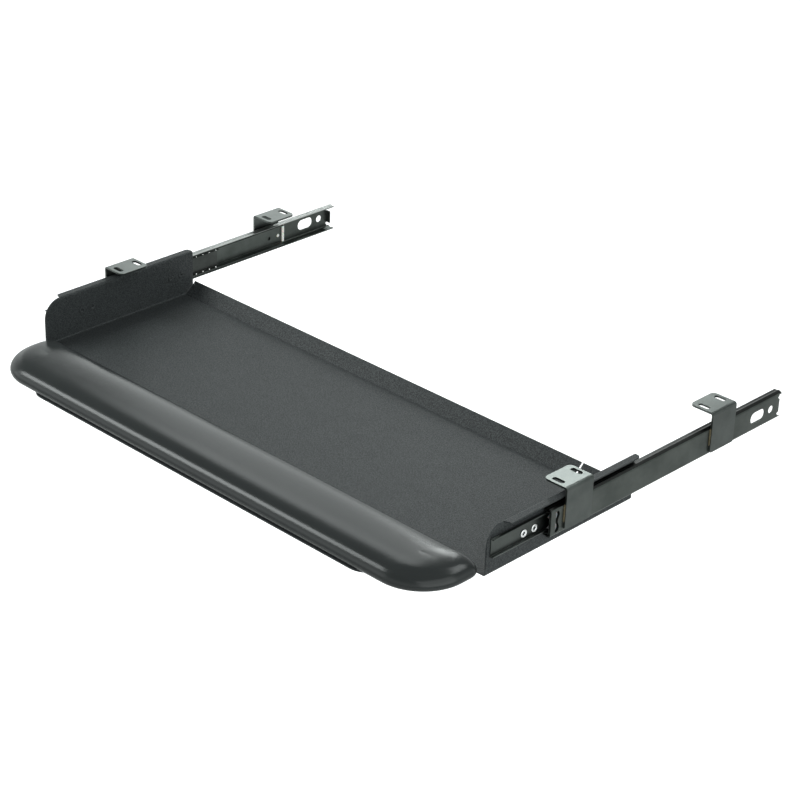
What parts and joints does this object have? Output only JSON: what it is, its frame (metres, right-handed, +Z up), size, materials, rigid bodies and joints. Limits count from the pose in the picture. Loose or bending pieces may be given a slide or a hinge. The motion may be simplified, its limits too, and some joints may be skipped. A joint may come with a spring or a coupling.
{
  "type": "keyboard tray",
  "caption": "Under-desk keyboard tray: folded steel pan with a padded palm rest, on telescoping ball-bearing slides that hang from slotted angle brackets.",
  "frame": {"origin": "centre of the desk screw pattern, on the mounting plane against the desk's underside", "axes": "+X to the user's right, +Y away from the user (the way the tray slides in), +Z up"},
  "size_m": [0.6348, 0.4885, 0.0605],
  "materials": {
    "tray_coat": "black powder coat with a fine texture",
    "pad_cover": "smooth black vinyl with a satin sheen",
    "core_board": "pressed fibre board, sealed",
    "dark_screws": "black oxide",
    "slide_plating": "black zinc plating, smooth",
    "bright_rivets": "bright zinc",
    "nylon": "natural nylon",
    "retainer_steel": "dark plated strip",
    "ball_steel": "polished bearing steel",
    "bracket_coat": "dark grey electro-coat, satin",
    "weld_bead": "coated weld bead"
  },
  "bodies": {
    "root": {"slide_outer_left": "slide_plating", "slide_outer_right": "slide_plating", "bracket_front_left": "bracket_coat", "bracket_front_right": "bracket_coat", "bracket_rear_left": "bracket_coat", "bracket_rear_right": "bracket_coat", "bracket_welds_left": "weld_bead", "bracket_welds_right": "weld_bead"},
    "tray": {"tray_pan": "tray_coat", "palm_rest_pad": "pad_cover", "palm_rest_board": "core_board", "palm_rest_screws": "dark_screws", "slide_inner_left": "slide_plating", "slide_inner_right": "slide_plating", "slide_rivets_left": "bright_rivets", "slide_rivets_right": "bright_rivets"},
    "middle_left": {"slide_middle_left": "slide_plating", "front_bumper_left": "nylon", "rear_bumper_left": "nylon"},
    "outer_cage_left": {"retainer_outer_left": "retainer_steel", "balls_outer_left": "ball_steel"},
    "inner_cage_left": {"retainer_inner_left": "retainer_steel", "balls_inner_left": "ball_steel"},
    "middle_right": {"slide_middle_right": "slide_plating", "front_bumper_right": "nylon", "rear_bumper_right": "nylon"},
    "outer_cage_right": {"retainer_outer_right": "retainer_steel", "balls_outer_right": "ball_steel"},
    "inner_cage_right": {"retainer_inner_right": "retainer_steel", "balls_inner_right": "ball_steel"}
  },
  "joints": [
    {"name": "tray_slide", "type": "slide", "parent": "root", "child": "tray", "axis": [0, 1, 0], "range_m": [-0.104, 0.128]},
    {"name": "middle_left_slide", "type": "slide", "parent": "root", "child": "middle_left", "axis": [0, 1, 0], "range_m": [-0.052, 0.064]},
    {"name": "outer_cage_left_slide", "type": "slide", "parent": "root", "child": "outer_cage_left", "axis": [0, 1, 0], "range_m": [-0.026, 0.032]},
    {"name": "inner_cage_left_slide", "type": "slide", "parent": "root", "child": "inner_cage_left", "axis": [0, 1, 0], "range_m": [-0.078, 0.096]},
    {"name": "middle_right_slide", "type": "slide", "parent": "root", "child": "middle_right", "axis": [0, 1, 0], "range_m": [-0.052, 0.064]},
    {"name": "outer_cage_right_slide", "type": "slide", "parent": "root", "child": "outer_cage_right", "axis": [0, 1, 0], "range_m": [-0.026, 0.032]},
    {"name": "inner_cage_right_slide", "type": "slide", "parent": "root", "child": "inner_cage_right", "axis": [0, 1, 0], "range_m": [-0.078, 0.096]}
  ],
  "couplings": [
    {"joint": "middle_left_slide", "follows": "tray_slide", "ratio": 0.5},
    {"joint": "outer_cage_left_slide", "follows": "tray_slide", "ratio": 0.25},
    {"joint": "inner_cage_left_slide", "follows": "tray_slide", "ratio": 0.75},
    {"joint": "middle_right_slide", "follows": "tray_slide", "ratio": 0.5},
    {"joint": "outer_cage_right_slide", "follows": "tray_slide", "ratio": 0.25},
    {"joint": "inner_cage_right_slide", "follows": "tray_slide", "ratio": 0.75}
  ]
}
